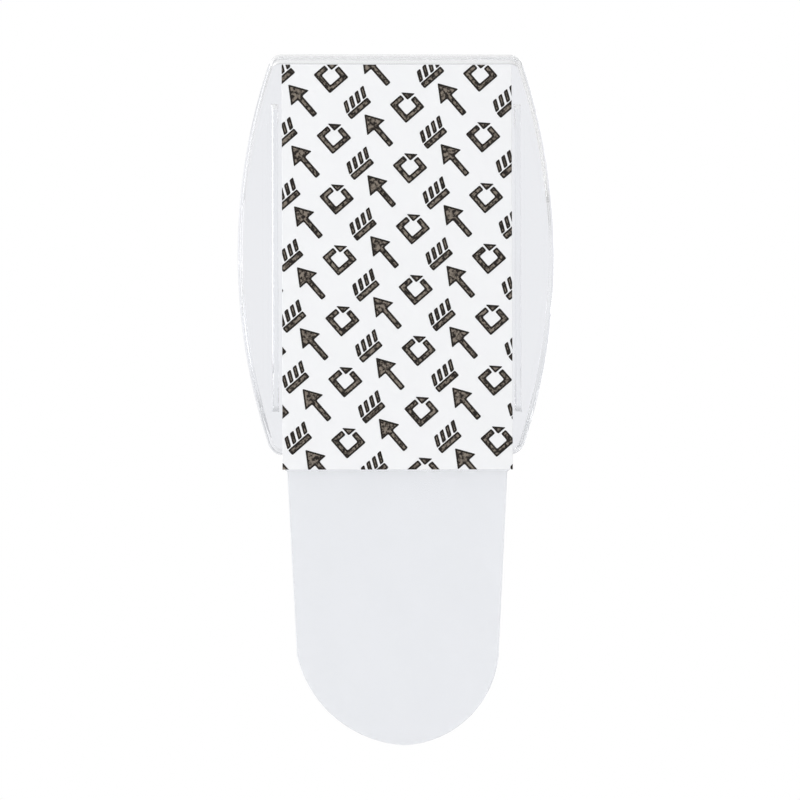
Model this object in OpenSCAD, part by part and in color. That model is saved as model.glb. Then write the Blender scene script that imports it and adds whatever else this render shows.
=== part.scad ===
// Clear wall hook on a stretch-release adhesive strip, with the strip's wall-side liner still on.
// X runs across the hook, +Y points into the wall and Z points up.
// The origin is at the centre of the face that goes against the wall.

/* [Base plate] */
// Width of the base plate where its bowed sides are widest
base_w = 21.9; // [19:0.1:24]
// Height of the base plate
base_h = 27.7; // [26:0.1:31]
// Thickness of the base plate at its middle
base_t = 3.2; // [2.6:0.1:4.2]
// Radius of the bowed sides
side_r = 41.8; // [34:0.1:60]
// How far the crowned front falls away from the middle to the sides
crown_drop = 0.6; // [0.2:0.05:0.9]
// Rounding of the front edge
front_edge_r = 0.8; // [0.4:0.05:1]
// Rounding of the back edge
back_edge_r = 0.25; // [0.15:0.05:0.4]
// Radius of the upper corners
top_corner_r = 0.95; // [0.5:0.05:1.2]
// Radius of the lower corners
bottom_corner_r = 1.1; // [0.5:0.05:1.4]

/* [Guide ribs] */
// Width of a guide rib at its foot
rib_w = 0.5; // [0.4:0.05:0.7]
// Width of a guide rib at its top
rib_top_w = 0.28; // [0.2:0.02:0.36]
// Height of a guide rib
rib_h = 0.45; // [0.3:0.05:0.6]
// Length of a guide rib
rib_len = 21.3; // [16:0.1:23]
// How far each end of a guide rib slopes, from its foot to its top
rib_end_run = 0.4; // [0.2:0.05:0.6]
// How far the middle of the guide ribs lies below the middle of the base plate
rib_drop = 0.25; // [0:0.05:0.6]
// Gap between the liner's edge and a guide rib
rib_gap = 0.2; // [0.1:0.05:0.4]

/* [Hook] */
// Width of the hook
hook_w = 10; // [8:0.1:12]
// Radius of the saddle that carries the load
saddle_r = 4.5; // [3.8:0.1:5]
// Thickness of the hook under the saddle
floor_t = 2.8; // [2.2:0.1:3.2]
// Thickness of the lip
lip_t = 2.1; // [1.8:0.1:2.6]
// Height of the lip's straight part, below its round end
lip_h = 0.8; // [0.4:0.1:3]
// Rounding of the hook's side edges
hook_edge_r = 0.75; // [0.5:0.05:0.85]
// Height of the hook's lowest point above the lower edge of the base plate
hook_rise = 1.8; // [1.4:0.1:3]
// Radius of the fillet around the hook's root
root_fillet_r = 1.4; // [1:0.1:1.6]

/* [Adhesive strip] */
// Width of the liner
liner_w = 15.9; // [14:0.1:16.5]
// Length of the liner
liner_len = 28; // [26:0.1:30]
// Thickness of the liner
liner_t = 0.1; // [0.08:0.01:0.16]
// Thickness of each adhesive layer
adhesive_t = 0.2; // [0.12:0.01:0.3]
// Thickness of the stretchy core
core_t = 0.5; // [0.4:0.05:0.8]
// How far the liner covers past the adhesive on each side
liner_cover = 0.2; // [0.1:0.05:0.4]
// How far the liner stops below the upper edge of the base plate
liner_drop = 0.8; // [0.4:0.05:1.2]

/* [Pull tab] */
// Length of the pull tab below the liner
tab_len = 19; // [17:0.1:22]
// How far the tab's root stands in from the adhesive on each side
tab_root_inset = 0.15; // [0.05:0.05:0.4]
// How far each side of the tab draws in from its root to its shoulder
tab_taper = 0.65; // [0.3:0.05:1]
// Length of the round end below the shoulders
tab_end_len = 6.2; // [5.6:0.1:6.8]
// Sideways place of the tab's lowest point, as the round end is cut a little off centre
tab_end_shift = -0.5; // [-0.6:0.05:0.6]
// How much flatter the round end is than arcs that meet level at its lowest point
tab_end_flatness = 1.06; // [1.02:0.01:1.12]
// Thickness of each tab film
film_t = 0.05; // [0.03:0.01:0.08]
// How far below the bend line the tab films start
film_start = 0.1; // [0.05:0.05:0.3]
// Clearance around the tab's round root, where the strip bends
bend_gap = 0.15; // [0.1:0.05:0.25]

/* [Hidden] */
$fn = 96;

// Depths below the wall face, layer by layer
wall_adhesive_at = liner_t;
core_at = wall_adhesive_at + adhesive_t;
hook_adhesive_at = core_at + core_t;
base_at = hook_adhesive_at + adhesive_t;
front_at = base_at + base_t;
tab_axis_at = core_at + core_t / 2;

// Heights
base_top = liner_len / 2 + liner_drop;
base_mid = base_top - base_h / 2;
base_bottom = base_top - base_h;
strip_w = liner_w - 2 * liner_cover;
strip_bottom = -liner_len / 2;
strip_top = liner_len / 2 - liner_cover;
tab_axis_z = strip_bottom - bend_gap - core_t / 2 - film_t;
tab_low = strip_bottom - tab_len;
shoulder_z = tab_low + tab_end_len;

// Straight sides of the tab
shoulder_half = strip_w / 2 - tab_root_inset - tab_taper;
tab_slope = tab_taper / (strip_bottom - shoulder_z);
function tab_half(z) = shoulder_half + tab_slope * (z - shoulder_z);

// Bowed sides
side_centre = side_r - base_w / 2;
crown_r = (pow(base_w / 2, 2) + pow(crown_drop, 2)) / (2 * crown_drop);

// Hook
outer_r = saddle_r + floor_t;
saddle_z = base_bottom + hook_rise + outer_r;
sunk = 0.3;
root_depth = 1;
saddle_at = front_at - sunk + saddle_r;
lip_at = saddle_at + saddle_r;
lip_mid = lip_at + lip_t / 2;
outer_at = lip_at + lip_t - outer_r;
// The fillet starts inside the hook's rounded edges
fillet_inset = hook_edge_r * (1 - sqrt(0.5));
fillet_at = front_at + root_fillet_r - sunk;
fillet_half = hook_w / 2 - fillet_inset;
underside_z = saddle_z - sqrt(pow(outer_r, 2) - pow(outer_at - fillet_at, 2));
fillet_low = underside_z + fillet_inset - root_fillet_r;

// Overlap that carries a cutting or limiting shape clear of the solid it shapes
past = 1;

// Extrudes a shape drawn in X and Z from one depth towards the front
module plate(from_depth, thickness) {
    translate([0, -from_depth, 0])
        rotate([90, 0, 0])
            linear_extrude(thickness)
                children();
}

// Extrudes a shape drawn in Y and Z across the hook
module across(width) {
    rotate([90, 0, 90])
        linear_extrude(width, center = true)
            children();
}

// Spins a profile, drawn as radius and place along X, about an axis that lies across the hook
module spun_across(depth, z) {
    translate([0, -depth, z])
        rotate([0, 90, 0])
            rotate_extrude()
                children();
}

// The sliver that rounding takes off a corner at the origin, on its -X, -Y side
module corner_sliver(r) {
    difference() {
        translate([-r, -r])
            square(r + past);
        translate([-r, -r])
            circle(r);
    }
}

// Half section of the disc whose rim is one bowed side
module side_disc_profile() {
    difference() {
        intersection() {
            square([side_r, base_t]);
            union() {
                square([side_centre, base_t]);
                translate([side_centre, base_t - crown_r])
                    circle(crown_r, $fn = 720);
            }
        }
        translate([side_r, base_t - crown_drop])
            corner_sliver(front_edge_r);
        translate([side_r, 0])
            mirror([0, 1])
                corner_sliver(back_edge_r);
    }
}

module side_disc(x) {
    translate([x, -base_at, base_mid])
        rotate([90, 0, 0])
            rotate_extrude($fn = 360)
                side_disc_profile();
}

// Upright section of the base plate, with its rounded upper and lower edges
module base_section() {
    difference() {
        translate([-front_at, base_bottom])
            square([base_t, base_h]);
        translate([-front_at, base_top])
            mirror([1, 0])
                corner_sliver(front_edge_r);
        translate([-front_at, base_bottom])
            rotate(180)
                corner_sliver(front_edge_r);
        translate([-base_at, base_top])
            corner_sliver(back_edge_r);
        translate([-base_at, base_bottom])
            mirror([0, 1])
                corner_sliver(back_edge_r);
    }
}

// What rounding takes off one corner of the base plate's outline, drawn for the upper right corner
module outline_corner(r) {
    reach = side_r - r;
    rise = base_h / 2 - r;
    run = sqrt(pow(reach, 2) - pow(rise, 2));
    centre = [run - side_centre, rise];
    out = side_r + past;
    tip = [run / reach * out - side_centre, rise / reach * out];
    difference() {
        polygon([centre, [centre[0], base_h / 2 + past], [tip[0] + past, base_h / 2 + past], tip]);
        translate(centre)
            circle(r);
    }
}

module base_plate() {
    difference() {
        intersection() {
            side_disc(-side_centre);
            side_disc(side_centre);
            across(base_w + past)
                base_section();
        }
        plate(base_at - past, base_t + 2 * past)
            translate([0, base_mid])
                for (side = [0, 1])
                    mirror([side, 0]) {
                        outline_corner(top_corner_r);
                        mirror([0, 1])
                            outline_corner(bottom_corner_r);
                    }
    }
}

// Guide rib with drafted flanks and sloped ends, rooted in the base plate
module guide_rib(x) {
    half = rib_len / 2;
    top_half = half - rib_end_run;
    translate([x, -base_at, base_mid - rib_drop])
        intersection() {
            linear_extrude(rib_len, center = true)
                polygon([[-rib_w / 2, -sunk], [rib_w / 2, -sunk], [rib_w / 2, 0],
                         [rib_top_w / 2, rib_h], [-rib_top_w / 2, rib_h], [-rib_w / 2, 0]]);
            across(rib_w + past)
                polygon([[-sunk - past, -half], [-sunk - past, half], [0, half],
                         [rib_h, top_half], [rib_h, -top_half], [0, -half]]);
        }
}

// Half section of the wheel that gives the underside of the hook
module outer_profile() {
    difference() {
        translate([0, -hook_w / 2])
            square([outer_r, hook_w]);
        for (side = [0, 1])
            mirror([0, side])
                translate([outer_r, hook_w / 2])
                    corner_sliver(hook_edge_r);
    }
}

// Half section of the spool that cuts the saddle and rounds its edges
module saddle_profile() {
    half = hook_w / 2 + root_fillet_r + past;
    translate([0, -half])
        square([saddle_r, 2 * half]);
    for (side = [0, 1])
        mirror([0, side])
            difference() {
                translate([0, hook_w / 2 - hook_edge_r])
                    square([saddle_r + hook_edge_r, half - hook_w / 2 + hook_edge_r]);
                translate([saddle_r + hook_edge_r, hook_w / 2 - hook_edge_r])
                    circle(hook_edge_r);
            }
}

// Block around the hook's root, hollowed to a fillet at its sides and below
module root_fillet() {
    depth = fillet_at - front_at + root_depth;
    intersection() {
        translate([0, 0, fillet_low])
            linear_extrude(saddle_z - fillet_low)
                difference() {
                    translate([-fillet_half - root_fillet_r, -fillet_at])
                        square([2 * (fillet_half + root_fillet_r), depth]);
                    for (side = [-1, 1])
                        translate([side * (fillet_half + root_fillet_r), -fillet_at])
                            circle(root_fillet_r);
                }
        across(hook_w + 2 * (root_fillet_r + past))
            difference() {
                translate([-fillet_at, fillet_low])
                    square([depth, saddle_z - fillet_low]);
                translate([-fillet_at, fillet_low])
                    circle(root_fillet_r);
            }
    }
}

// The curl of the hook, from its root in the base plate round to the foot of the lip
module curl() {
    difference() {
        union() {
            intersection() {
                spun_across(outer_at, saddle_z)
                    outer_profile();
                across(hook_w + past)
                    translate([-lip_at - lip_t - past, saddle_z - outer_r - past])
                        square([lip_at + lip_t + past - front_at + root_depth, outer_r + past]);
            }
            root_fillet();
        }
        spun_across(saddle_at, saddle_z)
            saddle_profile();
    }
}

// Section of half the lip, a bar with rounded edges
module half_lip() {
    difference() {
        translate([0, -lip_t / 2])
            square([hook_w / 2, lip_t]);
        for (face = [0, 1])
            mirror([0, face])
                translate([hook_w / 2, lip_t / 2])
                    corner_sliver(hook_edge_r);
    }
}

module lip() {
    translate([0, -lip_mid, saddle_z])
        linear_extrude(lip_h) {
            half_lip();
            mirror([1, 0])
                half_lip();
        }
    translate([0, -lip_mid, saddle_z + lip_h])
        rotate([90, 0, 0])
            rotate_extrude(angle = 180)
                half_lip();
}

module hook_body() {
    color("lightcyan", 0.5) {
        base_plate();
        for (side = [-1, 1])
            guide_rib(side * (liner_w / 2 + rib_gap + rib_w / 2));
        curl();
        lip();
    }
}

// Outline of the bonded length of the strip
module bond_outline() {
    translate([-strip_w / 2, strip_bottom])
        square([strip_w, strip_top - strip_bottom]);
}

module hook_side_adhesive() {
    color("gainsboro", 0.6)
        plate(hook_adhesive_at, adhesive_t)
            bond_outline();
}

module stretch_core() {
    color("whitesmoke", 0.6)
        plate(core_at, core_t)
            bond_outline();
}

module wall_side_adhesive() {
    color("gainsboro", 0.6)
        plate(wall_adhesive_at, adhesive_t)
            bond_outline();
}

// What the round end takes off one side of the tab, from the shoulder to the lowest point
module end_trim(side) {
    shoulder = [side * shoulder_half, shoulder_z];
    low = [tab_end_shift, tab_low];
    chord = low - shoulder;
    level_r = chord * chord / (2 * tab_end_len);
    r = tab_end_flatness * level_r;
    rise = sqrt(r * r - chord * chord / 4) / norm(chord);
    centre = (shoulder + low) / 2 + rise * [side * chord[1], -side * chord[0]];
    edge = shoulder[0] + side * past;
    difference() {
        polygon([low, shoulder, [edge, shoulder_z], [edge, tab_low - past], [low[0], tab_low - past]]);
        translate(centre)
            circle(r);
    }
}

// Outline of the tab from a given height down, drawn in X and Z
module tab_outline(top) {
    half = tab_half(top);
    difference() {
        polygon([[-half, top], [half, top],
                 [shoulder_half, shoulder_z], [shoulder_half, tab_low],
                 [-shoulder_half, tab_low], [-shoulder_half, shoulder_z]]);
        end_trim(-1);
        end_trim(1);
    }
}

module pull_tab() {
    half = tab_half(tab_axis_z);
    color("aliceblue", 0.6) {
        plate(core_at, core_t)
            tab_outline(tab_axis_z);
        translate([-half, -tab_axis_at, tab_axis_z])
            rotate([0, 90, 0])
                cylinder(h = 2 * half, d = core_t);
    }
}

module tab_film_front() {
    color("lavender", 0.5)
        plate(core_at + core_t, film_t)
            tab_outline(tab_axis_z - film_start);
}

module tab_film_rear() {
    color("lavender", 0.5)
        plate(core_at - film_t, film_t)
            tab_outline(tab_axis_z - film_start);
}

module wall_side_liner() {
    color("white")
        plate(0, liner_t)
            translate([-liner_w / 2, -liner_len / 2])
                square([liner_w, liner_len]);
}

hook_body();
hook_side_adhesive();
stretch_core();
wall_side_adhesive();
pull_tab();
tab_film_front();
tab_film_rear();
wall_side_liner();
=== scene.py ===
import math

import bmesh
import bpy
import numpy as np
from mathutils import Matrix, Vector


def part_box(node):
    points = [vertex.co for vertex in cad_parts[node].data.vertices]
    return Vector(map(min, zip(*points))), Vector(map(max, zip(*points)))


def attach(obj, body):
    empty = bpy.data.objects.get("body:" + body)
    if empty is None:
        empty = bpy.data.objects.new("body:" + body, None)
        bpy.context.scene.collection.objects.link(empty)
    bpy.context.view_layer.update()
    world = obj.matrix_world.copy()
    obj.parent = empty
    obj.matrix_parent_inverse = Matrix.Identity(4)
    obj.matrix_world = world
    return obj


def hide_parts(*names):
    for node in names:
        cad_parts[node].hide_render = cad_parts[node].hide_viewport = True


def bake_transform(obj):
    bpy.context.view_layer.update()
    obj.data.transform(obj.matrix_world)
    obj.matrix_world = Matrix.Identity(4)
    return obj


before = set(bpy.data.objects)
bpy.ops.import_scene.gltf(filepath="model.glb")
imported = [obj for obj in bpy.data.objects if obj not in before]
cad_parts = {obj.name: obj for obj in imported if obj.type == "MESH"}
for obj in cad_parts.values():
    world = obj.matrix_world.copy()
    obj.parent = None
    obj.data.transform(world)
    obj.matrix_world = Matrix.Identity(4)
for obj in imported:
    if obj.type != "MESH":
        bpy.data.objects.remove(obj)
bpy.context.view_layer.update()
mm = 0.001

# Hook moulding: one clear injection-moulded piece, a bowed base plate with a crowned front, a J hook that
# grows out of it through a fillet, and two low ribs on its back that guide the strip into place. It is
# polished clear plastic, and the strip's tacky layer holds it by its flat back.
hook_low, hook_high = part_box("hook_body")
base_at = -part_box("hook_side_adhesive")[0].y
base_half_w = hook_high.x
base_half_h = (hook_high.z - hook_low.z) / 2
base_mid = (hook_high.z + hook_low.z) / 2
base_t = 3.2 * mm
side_r = 41.8 * mm
crown_drop = 0.6 * mm
front_edge_r = 0.8 * mm
back_edge_r = 0.25 * mm
top_corner_r = 0.95 * mm
low_corner_r = 1.1 * mm
sharpest_corner_r = 0.04 * mm
crown_r = (base_half_w**2 + crown_drop**2) / (2 * crown_drop)

hook_half_w = 5 * mm
hook_edge_r = 0.75 * mm
saddle_r = 4.5 * mm
saddle_t = 2.8 * mm
lip_t = 2.1 * mm
lip_h = 0.8 * mm
outer_r = saddle_r + saddle_t
hook_rise = 1.8 * mm
root_flare = 1.2 * mm
front_at = base_at + base_t
saddle_at = -hook_low.y - lip_t - saddle_r
outer_at = -hook_low.y - outer_r
saddle_z = hook_low.z + hook_rise + outer_r

EDGE_STEPS = 32
CORNER_STEPS = 16
SIDE_STEPS = 160
ROUND_STEPS = 16
FILLET_STEPS = 12
CURL_STEPS = 48
LIP_STEPS = 56
SHARP_EDGE = math.radians(40)


def line(start, end, steps):
    t = np.linspace(0, 1, steps, endpoint=False)[:, None]
    return (1 - t) * np.array(start) + t * np.array(end)


def arc(centre, r, start, end, steps):
    angle = np.linspace(start, end, steps, endpoint=False)
    return np.array(centre) + r * np.stack([np.cos(angle), np.sin(angle)], 1)


def mirrored_loop(right_half):
    """Closed loop from its right half, which starts and ends on the straight top and low edges."""
    left_half = right_half[::-1] * [-1, 1]
    top = line(left_half[-1], right_half[0], EDGE_STEPS)
    low = line(right_half[-1], left_half[0], EDGE_STEPS)
    return np.concatenate([top, right_half[:-1], low, left_half[:-1]])


def barrel(inset):
    """Outline of the base plate, drawn in by a distance, as X and Z."""
    r, half_w, half_h = side_r - inset, base_half_w - inset, base_half_h - inset
    side_centre = np.array([half_w - r, 0])
    corners = []
    for corner_r in (top_corner_r, low_corner_r):
        corner_r = max(corner_r - inset, sharpest_corner_r)
        run = math.sqrt((r - corner_r) ** 2 - (half_h - corner_r) ** 2)
        corners.append((corner_r, half_h - corner_r, run, math.atan2(half_h - corner_r, run)))
    (top_r, top_rise, top_run, top_angle), (low_r, low_rise, low_run, low_angle) = corners
    right_half = np.concatenate([
        arc(side_centre + [top_run, top_rise], top_r, math.pi / 2, top_angle, CORNER_STEPS),
        arc(side_centre, r, top_angle, -low_angle, SIDE_STEPS),
        arc(side_centre + [low_run, -low_rise], low_r, -low_angle, -math.pi / 2, CORNER_STEPS),
        [side_centre + [low_run, -half_h]],
    ])
    return mirrored_loop(right_half) + [0, base_mid]


def bar(half_w, low, top, r):
    """Rounded rectangle with as many points as the base plate's outline, and in the same order."""
    right_half = np.concatenate([
        arc([half_w - r, top - r], r, math.pi / 2, 0, CORNER_STEPS),
        line([half_w, top - r], [half_w, low + r], SIDE_STEPS),
        arc([half_w - r, low + r], r, 0, -math.pi / 2, CORNER_STEPS),
        [[half_w - r, low]],
    ])
    return mirrored_loop(right_half)


def upright(outline, depth):
    """Ring from an outline in X and Z and its depth in front of the wall face."""
    return np.stack([outline[:, 0], np.broadcast_to(-depth, len(outline)), outline[:, 1]], 1)


def crowned_depth(outline):
    return front_at - crown_r + np.sqrt(crown_r**2 - outline[:, 0] ** 2)


def curl_ring(turn):
    """Section of the J hook, from its root at turn 0 round to the foot of the lip at turn 1."""
    inner_root = math.acos((saddle_at - front_at) / saddle_r)
    outer_root = math.acos((outer_at - front_at) / outer_r)
    inner_angle = inner_root + (math.pi - inner_root) * turn
    outer_angle = outer_root + (math.pi - outer_root) * turn
    inner = np.array([saddle_r * math.cos(inner_angle) - saddle_at,
                      saddle_z - saddle_r * math.sin(inner_angle)])
    outer = np.array([outer_r * math.cos(outer_angle) - outer_at,
                      saddle_z - outer_r * math.sin(outer_angle)])
    span = np.linalg.norm(inner - outer)
    section = bar(hook_half_w, 0, span, hook_edge_r)
    side_view = outer + section[:, 1:] / span * (inner - outer)
    return np.column_stack([section[:, 0], side_view])


def skin(rings):
    """Quads between rings of equal length, one after another."""
    count = len(rings[0])
    faces = []
    for k in range(len(rings) - 1):
        for i in range(count):
            j = (i + 1) % count
            faces.append((k * count + i, k * count + j, (k + 1) * count + j, (k + 1) * count + i))
    return faces


def new_piece(name, vertices, faces):
    """Mesh object with its faces turned outwards, smooth apart from its sharp edges."""
    mesh = bpy.data.meshes.new(name)
    mesh.from_pydata([tuple(v) for v in vertices], [], faces)
    build = bmesh.new()
    build.from_mesh(mesh)
    bmesh.ops.recalc_face_normals(build, faces=build.faces)
    build.to_mesh(mesh)
    build.free()
    mesh.polygons.foreach_set("use_smooth", [True] * len(mesh.polygons))
    mesh.set_sharp_from_angle(angle=SHARP_EDGE)
    piece = bpy.data.objects.new(name, mesh)
    bpy.context.scene.collection.objects.link(piece)
    return piece


support = 0.05 * mm
back_insets = (6 * mm, 3 * mm, 1.2 * mm, back_edge_r + support)
quarter = np.linspace(0, math.pi / 2, ROUND_STEPS + 1)
rings = [upright(barrel(inset), base_at) for inset in back_insets]
for angle in quarter[::2]:
    edge = barrel(back_edge_r * (1 - math.sin(angle)))
    rings.append(upright(edge, base_at + back_edge_r * (1 - math.cos(angle))))
side_edge = barrel(0)
rings.append(upright(side_edge, base_at + back_edge_r + support))
rings.append(upright(side_edge, crowned_depth(side_edge) - front_edge_r - support))
for angle in quarter:
    edge = barrel(front_edge_r * (1 - math.cos(angle)))
    rings.append(upright(edge, crowned_depth(edge) - front_edge_r * (1 - math.sin(angle))))

root = curl_ring(0)
flare_low = root[:, 2].min() - root_flare
flare_top = root[:, 2].max() + root_flare / 2
flared = bar(hook_half_w + root_flare, flare_low, flare_top, hook_edge_r + root_flare)
front_rim = barrel(front_edge_r)
front_shares = (0.006, 0.05, 0.12, 0.22, 0.34, 0.46, 0.58, 0.7, 0.8, 0.88, 0.94, 0.975, 1)
for t in front_shares:
    between = (1 - t) * front_rim + t * flared
    rings.append(upright(between, crowned_depth(between)))
curl_start = 0.09
fillet_foot, fillet_head = rings[-1], curl_ring(curl_start)
for t in np.linspace(0, 1, FILLET_STEPS + 1)[1:]:
    rings.append((1 - t) ** 2 * fillet_foot + 2 * t * (1 - t) * root + t**2 * fillet_head)
rings += [curl_ring(turn) for turn in np.linspace(curl_start, 1, CURL_STEPS + 1)[1:]]
rings.append(rings[-1] + [0, 0, lip_h])

# The lip's round end sweeps the right half of its last section about the lip's middle, over to the left.
count = len(rings[0])
vertices = list(np.concatenate(rings))
faces = skin(rings)
faces.append(tuple(range(count)))
lip_start = (len(rings) - 1) * count
middle, half_count = EDGE_STEPS // 2, count // 2
right = [lip_start + middle + i for i in range(half_count + 1)]
left = [lip_start + (middle - i) % count for i in range(half_count + 1)]
columns = [right]
for angle in np.linspace(0, math.pi, LIP_STEPS + 1)[1:-1]:
    column = [right[0]]
    for index in right[1:-1]:
        x, y, z = vertices[index]
        column.append(len(vertices))
        vertices.append(np.array([x * math.cos(angle), y, z + x * math.sin(angle)]))
    columns.append(column + [right[-1]])
columns.append(left)
for one, other in zip(columns, columns[1:]):
    for i in range(half_count):
        faces.append(tuple(dict.fromkeys((one[i], one[i + 1], other[i + 1], other[i]))))

# Guide ribs: drafted ridges with round shoulders and sloped ends, sunk a hair into the plate so that they
# read as one moulding.
rib_w = 0.5 * mm
rib_top_w = 0.28 * mm
rib_h = base_at + hook_high.y
rib_len = 21.3 * mm
rib_end_run = 0.4 * mm
rib_drop = 0.25 * mm
rib_gap = 0.2 * mm
shoulder_r = 0.12 * mm
sunk = 0.02 * mm
SHOULDER_STEPS = 8
RIB_END_STEPS = 10
rib_mid = base_mid - rib_drop
rib_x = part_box("wall_side_liner")[1].x + rib_gap + rib_w / 2
draft = math.atan2((rib_w - rib_top_w) / 2, rib_h)
shoulder_rise = rib_h - shoulder_r
shoulder_x = rib_w / 2 - (shoulder_r + math.sin(draft) * shoulder_rise) / math.cos(draft)
flank = [(rib_w / 2, -sunk), (rib_w / 2, 0)]
for angle in np.linspace(draft, math.pi / 2, SHOULDER_STEPS + 1):
    flank.append((shoulder_x + shoulder_r * math.cos(angle), shoulder_rise + shoulder_r * math.sin(angle)))
section = flank + [(-x, rise) for x, rise in reversed(flank)]
slope = np.linspace(0, 1, RIB_END_STEPS + 1)
for side in (-1, 1):
    rib_rings = []
    for end, rises in ((-1, slope), (1, slope[::-1])):
        for t in rises:
            z = rib_mid + end * (rib_len / 2 - rib_end_run * t)
            crest = rib_h * t * (2 - t) ** 0.5
            ring = [(side * rib_x + x, min(rise, crest) - base_at, z) for x, rise in section]
            rib_rings.append(np.array(ring))
    start, rib_count = len(vertices), len(section)
    vertices += list(np.concatenate(rib_rings))
    faces += [tuple(start + i for i in face) for face in skin(rib_rings)]
    faces.append(tuple(start + i for i in range(rib_count)))
    faces.append(tuple(start + (len(rib_rings) - 1) * rib_count + i for i in range(rib_count)))

hook = new_piece("hook_moulding", vertices, faces)
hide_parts("hook_body")
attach(hook, "hook")


def new_material(name, piece):
    """Node material on a piece; gives its node tree and its Principled node."""
    material = bpy.data.materials.new(name)
    material.use_nodes = True
    piece.data.materials.clear()
    piece.data.materials.append(material)
    return material.node_tree, material.node_tree.nodes["Principled BSDF"]


def remap(tree, value, start, end, before, after):
    """Node that takes a value's range, start to end, to another, before to after."""
    node = tree.nodes.new("ShaderNodeMapRange")
    node.inputs["From Min"].default_value = start
    node.inputs["From Max"].default_value = end
    node.inputs["To Min"].default_value = before
    node.inputs["To Max"].default_value = after
    tree.links.new(value, node.inputs["Value"])
    return node


def grain_group():
    """Shader group: soft clouds as a mask, and a finer grain as a bump height, in the piece's own space."""
    group = bpy.data.node_groups.new("fine_grain", "ShaderNodeTree")
    for name in ("Cloud Scale", "Grain Scale"):
        group.interface.new_socket(name, in_out="INPUT", socket_type="NodeSocketFloat")
    for name in ("Mask", "Height"):
        group.interface.new_socket(name, in_out="OUTPUT", socket_type="NodeSocketFloat")
    nodes, links = group.nodes, group.links
    given, result = nodes.new("NodeGroupInput"), nodes.new("NodeGroupOutput")
    place = nodes.new("ShaderNodeTexCoord")
    for scale, output, detail in (("Cloud Scale", "Mask", 3), ("Grain Scale", "Height", 6)):
        noise = nodes.new("ShaderNodeTexNoise")
        noise.inputs["Detail"].default_value = detail
        links.new(place.outputs["Object"], noise.inputs["Vector"])
        links.new(given.outputs[scale], noise.inputs["Scale"])
        spread = remap(group, noise.outputs["Fac"], start=0.3, end=0.7, before=0, after=1)
        links.new(spread.outputs["Result"], result.inputs[output])
    return group


fine_grain = grain_group()
grain_depth = 0.02 * mm


def add_grain(tree, principled, cloud_scale, grain_scale, tints, roughness, bump):
    """Feeds the shared grain into a material: two tints, a range of roughness and a faint bump."""
    nodes, links = tree.nodes, tree.links
    grain = nodes.new("ShaderNodeGroup")
    grain.node_tree = fine_grain
    grain.inputs["Cloud Scale"].default_value = cloud_scale
    grain.inputs["Grain Scale"].default_value = grain_scale
    tint = nodes.new("ShaderNodeMix")
    tint.data_type = "RGBA"
    tint.inputs["A"].default_value = (*tints[0], 1)
    tint.inputs["B"].default_value = (*tints[1], 1)
    links.new(grain.outputs["Mask"], tint.inputs["Factor"])
    links.new(tint.outputs["Result"], principled.inputs["Base Color"])
    sheen = remap(tree, grain.outputs["Mask"], 0, 1, *roughness)
    links.new(sheen.outputs["Result"], principled.inputs["Roughness"])
    relief = nodes.new("ShaderNodeBump")
    relief.inputs["Strength"].default_value = bump
    relief.inputs["Distance"].default_value = grain_depth
    links.new(grain.outputs["Height"], relief.inputs["Height"])
    links.new(relief.outputs["Normal"], principled.inputs["Normal"])
    return grain, tint


def let_lamps_through(tree, principled, shade):
    """Clear plastic dims the light of lamps instead of stopping it."""
    nodes, links = tree.nodes, tree.links
    path = nodes.new("ShaderNodeLightPath")
    dimmed = nodes.new("ShaderNodeBsdfTransparent")
    dimmed.inputs["Color"].default_value = (*shade, 1)
    either = nodes.new("ShaderNodeMixShader")
    links.new(path.outputs["Is Shadow Ray"], either.inputs["Fac"])
    links.new(principled.outputs["BSDF"], either.inputs[1])
    links.new(dimmed.outputs["BSDF"], either.inputs[2])
    links.new(either.outputs["Shader"], nodes["Material Output"].inputs["Surface"])


hook_tints = ((0.958, 0.962, 0.968), (0.968, 0.972, 0.978))
lamp_dimming = (0.975, 0.98, 0.985)
tree, principled = new_material("clear_moulding", hook)
principled.inputs["Transmission Weight"].default_value = 1
principled.inputs["IOR"].default_value = 1.49
add_grain(tree, principled, cloud_scale=160, grain_scale=900, tints=hook_tints,
          roughness=(0.01, 0.03), bump=0.002)
let_lamps_through(tree, principled, lamp_dimming)

# Hook-side adhesive: a clear tacky layer pressed flat between the strip's core and the base plate, where it
# wets the plastic. Its cut edges are a little rounded, and it is a shade milky.
wetting = 0.015 * mm
tack_edge_r = 0.06 * mm
sheet_corner_r = 0.15 * mm
tack_tints = ((0.9, 0.905, 0.915), (0.93, 0.935, 0.94))


def tube(name, rings):
    """Piece skinned over rings, with a flat face at each end."""
    count = len(rings[0])
    faces = skin(rings)
    faces.append(tuple(range(count)))
    faces.append(tuple(range((len(rings) - 1) * count, len(rings) * count)))
    return new_piece(name, np.concatenate(rings), faces)


def slab(name, low, high, edge_r, sink):
    """Thin sheet in a CAD box, with rounded edges; wetted layers sink a little into their neighbours."""
    half_w = (high.x - low.x) / 2
    rear, front = high.y + sink, low.y - sink
    steps = [(edge_r + support, rear)]
    steps += [(edge_r * (1 - math.sin(a)), rear - edge_r * (1 - math.cos(a))) for a in quarter[::4]]
    steps += [(edge_r * (1 - math.sin(a)), front + edge_r * (1 - math.cos(a))) for a in quarter[::-4]]
    steps.append((edge_r + support, front))
    rings = []
    for inset, y in steps:
        outline = bar(half_w - inset, low.z + inset, high.z - inset, sheet_corner_r)
        rings.append(upright(outline, -y))
    return tube(name, rings)


low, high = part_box("hook_side_adhesive")
hook_tack = slab("hook_side_tack", low, high, tack_edge_r, wetting)
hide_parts("hook_side_adhesive")
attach(hook_tack, "strip")


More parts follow.
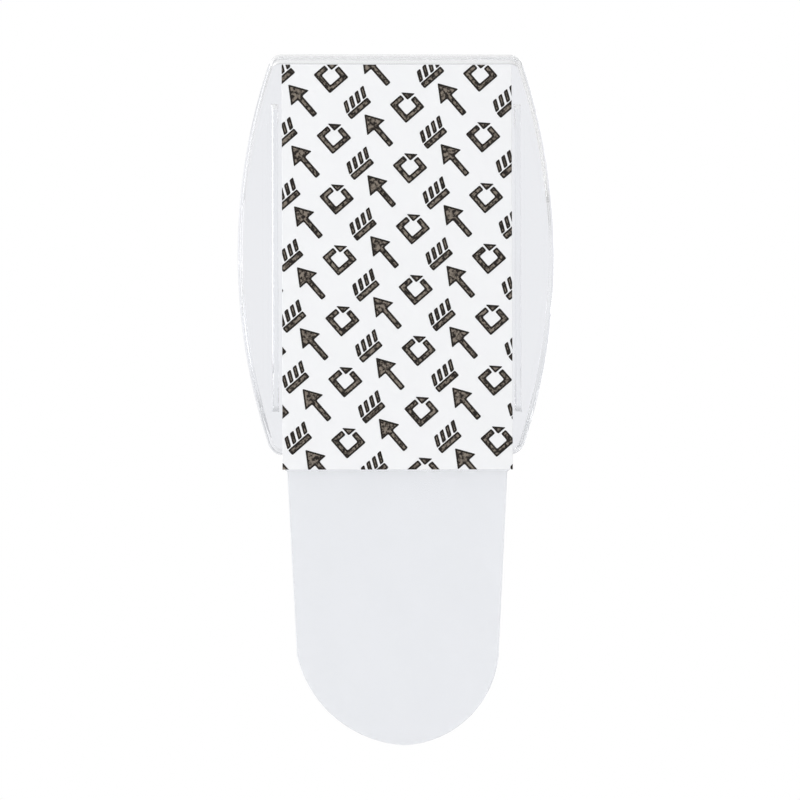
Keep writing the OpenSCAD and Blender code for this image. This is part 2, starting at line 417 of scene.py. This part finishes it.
def add_haze(tree, principled, grain, thin, thick):
    """Lets a thin layer be seen through, with its haze a little uneven."""
    haze = remap(tree, grain.outputs["Mask"], 0, 1, thin, thick)
    tree.links.new(haze.outputs["Result"], principled.inputs["Alpha"])


tree, principled = new_material("tacky_layer", hook_tack)
grain, _ = add_grain(tree, principled, cloud_scale=500, grain_scale=3000, tints=tack_tints,
                     roughness=(0.15, 0.25), bump=0.05)
add_haze(tree, principled, grain, thin=0.03, thick=0.06)
tacky_layer = hook_tack.data.materials[0]

# Stretch core and pull tab: one clear stretchy film that runs from the top of the bond down past the base
# plate. Its lower end is die-cut to a tapered tab with a round end, cut a little off centre. It is built
# flat, with its rows set close just below the liner.
core_low, core_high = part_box("stretch_core")
tab_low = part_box("pull_tab")[0]
tab_root_inset = 0.15 * mm
tab_taper = 0.65 * mm
tab_root_half = core_high.x - tab_root_inset
tab_shoulder_half = tab_root_half - tab_taper
tab_end_len = 6.2 * mm
tab_end_shift = -0.5 * mm
tab_end_flatness = 1.06
shoulder_z = tab_low.z + tab_end_len
root_blend = 0.2 * mm
strip_edge_r = 0.02 * mm
strip_tints = ((0.908, 0.916, 0.927), (0.918, 0.926, 0.937))


def strip_edge(z, side):
    """X of the strip's edge at a height, on one side."""
    if z >= core_low.z:
        return side * core_high.x
    if z >= shoulder_z:
        widening = (tab_root_half - tab_shoulder_half) * (z - shoulder_z) / (core_low.z - shoulder_z)
        step = max(0, 1 - (core_low.z - z) / root_blend)
        return side * (tab_shoulder_half + widening + (core_high.x - tab_root_half) * step**2)
    shoulder = np.array([side * tab_shoulder_half, shoulder_z])
    low_point = np.array([tab_end_shift, tab_low.z])
    chord = low_point - shoulder
    r = tab_end_flatness * (chord @ chord) / (2 * tab_end_len)
    rise = math.sqrt(r * r - chord @ chord / 4) / np.linalg.norm(chord)
    centre = (shoulder + low_point) / 2 + rise * side * np.array([chord[1], -chord[0]])
    return centre[0] + side * math.sqrt(max(r * r - (z - centre[1]) ** 2, 0))


across_film = np.concatenate([[0, 0.01], np.linspace(0.06, 0.94, 13), [0.99, 1]])


def film_rings(heights, rear, front, inset, edge_r):
    """Rings down a film with the strip's outline: rear face, edge, front face, edge."""
    made = []
    for z in heights:
        left, right = strip_edge(z, -1) + inset, strip_edge(z, 1) - inset
        edge = min(edge_r, (right - left) / 4)
        face = left + edge + (right - left - 2 * edge) * across_film
        loop = [(x, rear) for x in face] + [(right, rear - edge_r), (right, front + edge_r)]
        loop += [(x, front) for x in face[::-1]] + [(left, front + edge_r), (left, rear - edge_r)]
        made.append(np.array([(x, y, z) for x, y in loop]))
    return made


BOND_STEPS = 7
BEND_STEPS = 26
TAB_STEPS = 8
END_STEPS = 39
bond_margin = 1 * mm
bend_above = 0.1 * mm
bend_below = 1.2 * mm
tip_t = 0.004 * mm
bend_top = core_low.z + bend_above
bend_end = core_low.z - bend_below
bond_heights = np.linspace(core_high.z - bond_margin, bend_top, BOND_STEPS + 1)[:-1]
bend_heights = np.linspace(bend_top, bend_end, BEND_STEPS + 1)
tab_heights = np.linspace(bend_end, shoulder_z, TAB_STEPS + 1)[1:]
end_heights = shoulder_z - tab_end_len * np.sin(np.linspace(0, math.pi / 2, END_STEPS + 1))[1:-1]
strip_heights = np.concatenate([
    [core_high.z, core_high.z - support],
    bond_heights,
    bend_heights,
    tab_heights,
    end_heights,
    [tab_low.z + tip_t],
])
strip_rings = film_rings(strip_heights, core_high.y + wetting, core_low.y - wetting, 0, strip_edge_r)
strip = tube("strip_core", strip_rings)
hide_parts("stretch_core", "pull_tab")
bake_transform(strip)
tree, principled = new_material("strip_core", strip)
principled.inputs["Transmission Weight"].default_value = 1
principled.inputs["IOR"].default_value = 1.48
add_grain(tree, principled, cloud_scale=200, grain_scale=2500, tints=strip_tints,
          roughness=(0.08, 0.1), bump=0.004)
let_lamps_through(tree, principled, lamp_dimming)

# Tab films: two thin satin films, one on each face of the tab, which keep it from sticking to the wall or
# the fingers. They are laminated before the tab is cut, so they share its outline and its rows.
film_top_gap = 0.06 * mm
film_bend_gap = 0.1 * mm
film_inset = 0.02 * mm
film_edge_r = 0.01 * mm
film_tints = ((0.87, 0.878, 0.9), (0.88, 0.888, 0.908))
film_heights = np.concatenate([
    [core_low.z - film_top_gap],
    bend_heights[bend_heights < core_low.z - film_bend_gap],
    tab_heights,
    end_heights[:-2],
])
for node in ("tab_film_front", "tab_film_rear"):
    low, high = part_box(node)
    film = tube(node + "_satin", film_rings(film_heights, high.y, low.y, film_inset, film_edge_r))
    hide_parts(node)
    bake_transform(film)
    tree, principled = new_material(node + "_satin", film)
    grain, _ = add_grain(tree, principled, cloud_scale=150, grain_scale=2500, tints=film_tints,
                         roughness=(0.25, 0.3), bump=0.01)
    add_haze(tree, principled, grain, thin=0.1, thick=0.115)

# Wall-side adhesive: the same clear tacky layer on the strip's other face, kept clean by the liner until it
# goes on the wall.
low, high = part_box("wall_side_adhesive")
wall_tack = slab("wall_side_tack", low, high, tack_edge_r, wetting)
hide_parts("wall_side_adhesive")
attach(wall_tack, "strip")
wall_tack.data.materials.append(tacky_layer)

# Liner: a sheet of coated white paper over the wall-side adhesive, cut a little larger than it, with almost
# square corners. Its coating lets it peel off the tack.
liner_low, liner_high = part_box("wall_side_liner")
liner_edge_r = 0.02 * mm
liner_tints = ((0.895, 0.902, 0.918), (0.908, 0.915, 0.928))
liner = slab("liner_sheet", liner_low, liner_high, liner_edge_r, 0)
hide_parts("wall_side_liner")
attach(liner, "liner")
tree, principled = new_material("liner_paper", liner)
principled.inputs["Specular IOR Level"].default_value = 0.3
add_grain(tree, principled, cloud_scale=420, grain_scale=4200, tints=liner_tints,
          roughness=(0.42, 0.55), bump=0.12)

# Liner print: diagonal rows of plain pictograms in dark brown ink, an arrow that points at a hatched wall
# and a sheet with a lifted corner. The ink stands a hair above the paper and soaks a little into it. It has
# run to the rim of each mark, so the rims are darker than the cores.
ink_t = 0.012 * mm
ink_soak = 0.004 * mm
rim_w = 0.125 * mm
corner_r = 0.1 * mm
row_pitch = 2.62 * mm
row_shift = 3.3 * mm
row_angle = math.radians(49)
motif_len = 8.3 * mm
wall_along = 3.15 * mm
sheet_along = 6.35 * mm
stroke = 0.41 * mm
tick_w = stroke * 0.8
rim_tints = ((0.012, 0.009, 0.007), (0.02, 0.015, 0.012))
worn_tint = (0.235, 0.2, 0.165)


def arrow_mark():
    """Arrow along +X from the origin."""
    shaft, head, length, back = stroke / 2, 0.82 * mm, 2.85 * mm, 1.6 * mm
    outline = [(0, -shaft), (back, -shaft), (back, -head), (length, 0)]
    outline += [(back, head), (back, shaft), (0, shaft)]
    return [outline]


def wall_mark():
    """Upright bar with slanted hatch strokes on its far side, as walls are drawn in section."""
    half, tick, slant, gap, ticks = 0.92 * mm, 0.8 * mm, 0.35 * mm, 0.06 * mm, 4
    far = stroke * 1.1
    marks = [[(0, -half), (far, -half), (far, half), (0, half)]]
    for step in range(ticks):
        y = -half + step * (2 * half - tick_w) / (ticks - 1)
        marks.append([(far + gap, y), (far + tick, y + slant), (far + tick, y + slant + tick_w),
                      (far + gap, y + tick_w)])
    return marks


def sheet_mark():
    """Outline of a small sheet with one corner lifted."""
    half, fold, gap = 0.86 * mm, 0.7 * mm, 0.12 * mm
    inner, cut = half - stroke, half - fold
    outline = [(-half, -half), (half, -half), (half, cut), (inner, cut), (inner, -inner), (-inner, -inner),
               (-inner, inner), (cut, inner), (cut, half), (-half, half)]
    return [outline, [(cut + gap, cut + gap), (half + gap, cut + gap), (cut + gap, half + gap)]]


def drawn_in(mark, distance):
    """Mark's outline moved inwards by a distance."""
    along = np.roll(mark, -1, 0) - mark
    along /= np.linalg.norm(along, axis=1)[:, None]
    inward = np.stack([-along[:, 1], along[:, 0]], 1)
    before = np.roll(inward, 1, 0)
    return mark + distance * (inward + before) / (1 + (inward * before).sum(1))[:, None]


def rounded(mark, r):
    """Mark's outline with its corners rounded, as ink rounds them, over less than half of each side."""
    most = 0.4
    loop = []
    for before, corner, after in zip(np.roll(mark, 1, 0), mark, np.roll(mark, -1, 0)):
        start, end = (corner + (other - corner) * min(most, r / np.linalg.norm(other - corner))
                      for other in (before, after))
        loop += [(1 - t) ** 2 * start + 2 * t * (1 - t) * corner + t * t * end for t in (0, 0.33, 0.67, 1)]
    return np.array(loop)


def inked(mark, along):
    """Rim and core of a mark, moved along its row."""
    mark = np.array(mark) + [along, 0]
    return rounded(mark, corner_r), rounded(drawn_in(mark, rim_w), corner_r / 2)


motif = [inked(mark, 0) for mark in arrow_mark()]
motif += [inked(mark, wall_along) for mark in wall_mark()]
motif += [inked(mark, sheet_along) for mark in sheet_mark()]
build = bmesh.new()
core_layer = build.verts.layers.float.new("ink_core")
turn = np.array([[math.cos(row_angle), math.sin(row_angle)], [-math.sin(row_angle), math.cos(row_angle)]])
reach = math.hypot(liner_high.x, liner_high.z)
rows, repeats = int(reach / row_pitch) + 1, int(reach / motif_len) + 2
for row in range(-rows, rows + 1):
    for repeat in range(-repeats, repeats + 1):
        start = np.array([repeat * motif_len + row * row_shift % motif_len, row * row_pitch])
        for rim, core in motif:
            rim, core = (start + rim) @ turn, (start + core) @ turn
            across, up = rim[:, 0], rim[:, 1]
            if not np.any((abs(across) < liner_high.x) & (liner_low.z < up) & (up < liner_high.z)):
                continue
            loops = []
            for outline, depth in ((rim, 0.0), (core, 1.0)):
                loop = [build.verts.new((x, liner_high.y + ink_t, z)) for x, z in outline]
                for vertex in loop:
                    vertex[core_layer] = depth
                loops.append(loop)
            build.faces.new(loops[1])
            for i in range(len(rim)):
                build.faces.new((loops[0][i - 1], loops[0][i], loops[1][i], loops[1][i - 1]))
liner_edges = (
    (liner_low, (-1, 0, 0)),
    (liner_high, (1, 0, 0)),
    (liner_low, (0, 0, -1)),
    (liner_high, (0, 0, 1)),
)
for corner, outward in liner_edges:
    marks = build.verts[:] + build.edges[:] + build.faces[:]
    bmesh.ops.bisect_plane(build, geom=marks, plane_co=corner, plane_no=outward, clear_outer=True)
top_faces = build.faces[:]
mark_edges = [edge for edge in build.edges if edge.is_boundary]
soaked = {}
for vertex in build.verts[:]:
    soaked[vertex] = build.verts.new(vertex.co - Vector((0, ink_t + ink_soak, 0)))
for face in top_faces:
    build.faces.new([soaked[vertex] for vertex in reversed(face.verts)])
for edge in mark_edges:
    start, end = edge.verts
    build.faces.new((start, end, soaked[end], soaked[start]))
bmesh.ops.recalc_face_normals(build, faces=build.faces)
print_mesh = bpy.data.meshes.new("liner_print")
build.to_mesh(print_mesh)
build.free()
ink = bpy.data.objects.new("liner_print", print_mesh)
bpy.context.scene.collection.objects.link(ink)
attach(ink, "liner")
tree, principled = new_material("print_ink", ink)
principled.inputs["Specular IOR Level"].default_value = 0.2
grain, tint = add_grain(tree, principled, cloud_scale=4200, grain_scale=9000, tints=rim_tints,
                        roughness=(0.45, 0.65), bump=0.1)
nodes, links = tree.nodes, tree.links
ink_core = nodes.new("ShaderNodeAttribute")
ink_core.attribute_name = "ink_core"
inside = remap(tree, ink_core.outputs["Fac"], start=0.93, end=1, before=0, after=1)
mottle = remap(tree, grain.outputs["Mask"], start=0.32, end=0.72, before=0, after=1)
thin = nodes.new("ShaderNodeMath")
thin.operation = "MULTIPLY"
links.new(inside.outputs["Result"], thin.inputs[0])
links.new(mottle.outputs["Result"], thin.inputs[1])
worn = nodes.new("ShaderNodeMix")
worn.data_type = "RGBA"
worn.inputs["B"].default_value = (*worn_tint, 1)
links.new(thin.outputs["Value"], worn.inputs["Factor"])
links.new(tint.outputs["Result"], worn.inputs["A"])
links.new(worn.outputs["Result"], principled.inputs["Base Color"])

# Stage: a pale floor well below the strip's travel, broad soft boxes to the left, above and in front, and a
# white studio. Clear edges bend its greyer sides and ceiling into view, and one flank of a rib the bright
# panel on its right.
scene = bpy.context.scene
scene.view_settings.view_transform = "Standard"
clear_bounces = 24
scene.cycles.max_bounces = clear_bounces
scene.cycles.diffuse_bounces = 8
scene.cycles.glossy_bounces = clear_bounces
scene.cycles.transmission_bounces = clear_bounces
scene.cycles.transparent_max_bounces = 32
floor_drop = 45 * mm
floor_half = 0.9
floor_tints = ((0.8, 0.8, 0.8), (0.82, 0.82, 0.82))
floor_z = tab_low.z - floor_drop
floor_signs = ((-1, -1), (1, -1), (1, 1), (-1, 1))
floor_corners = [(x * floor_half, y * floor_half, floor_z) for x, y in floor_signs]
floor = new_piece("floor", floor_corners, [(0, 1, 2, 3)])
tree, principled = new_material("pale_floor", floor)
add_grain(tree, principled, cloud_scale=12, grain_scale=300, tints=floor_tints,
          roughness=(0.6, 0.8), bump=0.05)


def soft_box(name, place, width, height, power):
    """Area lamp that faces the middle of the hook's base; clear plastic shows the studio, not the lamp."""
    lamp = bpy.data.lights.new(name, "AREA")
    lamp.shape = "RECTANGLE"
    lamp.size, lamp.size_y = width, height
    lamp.energy = power
    holder = bpy.data.objects.new(name, lamp)
    holder.location = place
    toward_base = Vector((0, 0, base_mid)) - holder.location
    holder.rotation_euler = toward_base.to_track_quat("-Z", "Y").to_euler()
    holder.visible_camera = False
    holder.visible_transmission = False
    scene.collection.objects.link(holder)


soft_box("key_box", place=(0.5, 0.42, 0.1), width=0.3, height=0.6, power=2.68)
soft_box("top_box", place=(0, 0.1, 0.6), width=0.5, height=0.5, power=0.8)
soft_box("front_box", place=(-0.4, -0.5, 0.25), width=0.5, height=0.6, power=2.6)

panel_direction = (-0.92, -0.39, 0.04)
studio_cast = (0.985, 0.992, 1.018)
fill_grey = (0.57, 0.57, 0.57, 1)
backdrop_white = (1, 1, 1, 1)
world = bpy.data.worlds.new("white_studio")
scene.world = world
world.use_nodes = True
tree = world.node_tree
nodes, links = tree.nodes, tree.links
nodes.clear()
place = nodes.new("ShaderNodeTexCoord")
parts = nodes.new("ShaderNodeSeparateXYZ")
links.new(place.outputs["Generated"], parts.inputs["Vector"])


def studio_math(operation, *values):
    """Math node of the studio, fed by the outputs of other nodes."""
    node = nodes.new("ShaderNodeMath")
    node.operation = operation
    for socket, value in zip(node.inputs, values):
        links.new(value, socket)
    return node.outputs["Value"]


def studio_fade(value, start, end, before, after):
    """Soft step of the studio's brightness between two values."""
    node = remap(tree, value, start, end, before, after)
    node.interpolation_type = "SMOOTHSTEP"
    return node.outputs["Result"]


ahead = studio_math("ABSOLUTE", parts.outputs["Y"])
walls = studio_fade(ahead, start=0.55, end=0.97, before=0.85, after=0.88)
ceiling = studio_fade(parts.outputs["Z"], start=0.2, end=0.8, before=1, after=0.66)
toward_panel = nodes.new("ShaderNodeVectorMath")
toward_panel.operation = "DOT_PRODUCT"
toward_panel.inputs[1].default_value = panel_direction
links.new(place.outputs["Generated"], toward_panel.inputs[0])
panel = studio_fade(toward_panel.outputs["Value"], start=0.97, end=0.99, before=0, after=0.7)
studio = studio_math("ADD", studio_math("MULTIPLY", walls, ceiling), panel)
cool = nodes.new("ShaderNodeVectorMath")
cool.operation = "SCALE"
cool.inputs[0].default_value = studio_cast
links.new(studio, cool.inputs["Scale"])
path = nodes.new("ShaderNodeLightPath")
mirrored = studio_math("MAXIMUM", path.outputs["Is Glossy Ray"], path.outputs["Is Transmission Ray"])
through = nodes.new("ShaderNodeMix")
through.data_type = "RGBA"
through.inputs["A"].default_value = fill_grey
links.new(mirrored, through.inputs["Factor"])
links.new(cool.outputs["Vector"], through.inputs["B"])
seen = nodes.new("ShaderNodeMix")
seen.data_type = "RGBA"
seen.inputs["B"].default_value = backdrop_white
links.new(path.outputs["Is Camera Ray"], seen.inputs["Factor"])
links.new(through.outputs["Result"], seen.inputs["A"])
backdrop = nodes.new("ShaderNodeBackground")
links.new(seen.outputs["Result"], backdrop.inputs["Color"])
result = nodes.new("ShaderNodeOutputWorld")
links.new(backdrop.outputs["Background"], result.inputs["Surface"])

# Camera: close to square on the liner, a little to the left of it and below it, as the photograph was taken.
camera = bpy.data.objects.new("camera", bpy.data.cameras.new("camera"))
scene.collection.objects.link(camera)
camera_distance = 0.6
frame_width = 55.2 * mm
off_left = math.radians(2.5)
off_below = math.radians(2.5)
camera_roll = math.radians(-0.16)
aim = Vector((-0.17 * mm, 0, -9.2 * mm))
sight = Vector((
    math.sin(off_left) * math.cos(off_below),
    math.cos(off_left) * math.cos(off_below),
    -math.sin(off_below),
))
standing = Matrix.Translation(aim + camera_distance * sight)
facing = sight.to_track_quat("Z", "Y").to_matrix().to_4x4()
camera.matrix_world = standing @ facing @ Matrix.Rotation(camera_roll, 4, "Z")
camera.data.lens = camera.data.sensor_width * camera_distance / frame_width
camera.data.clip_start = 0.01
scene.camera = camera
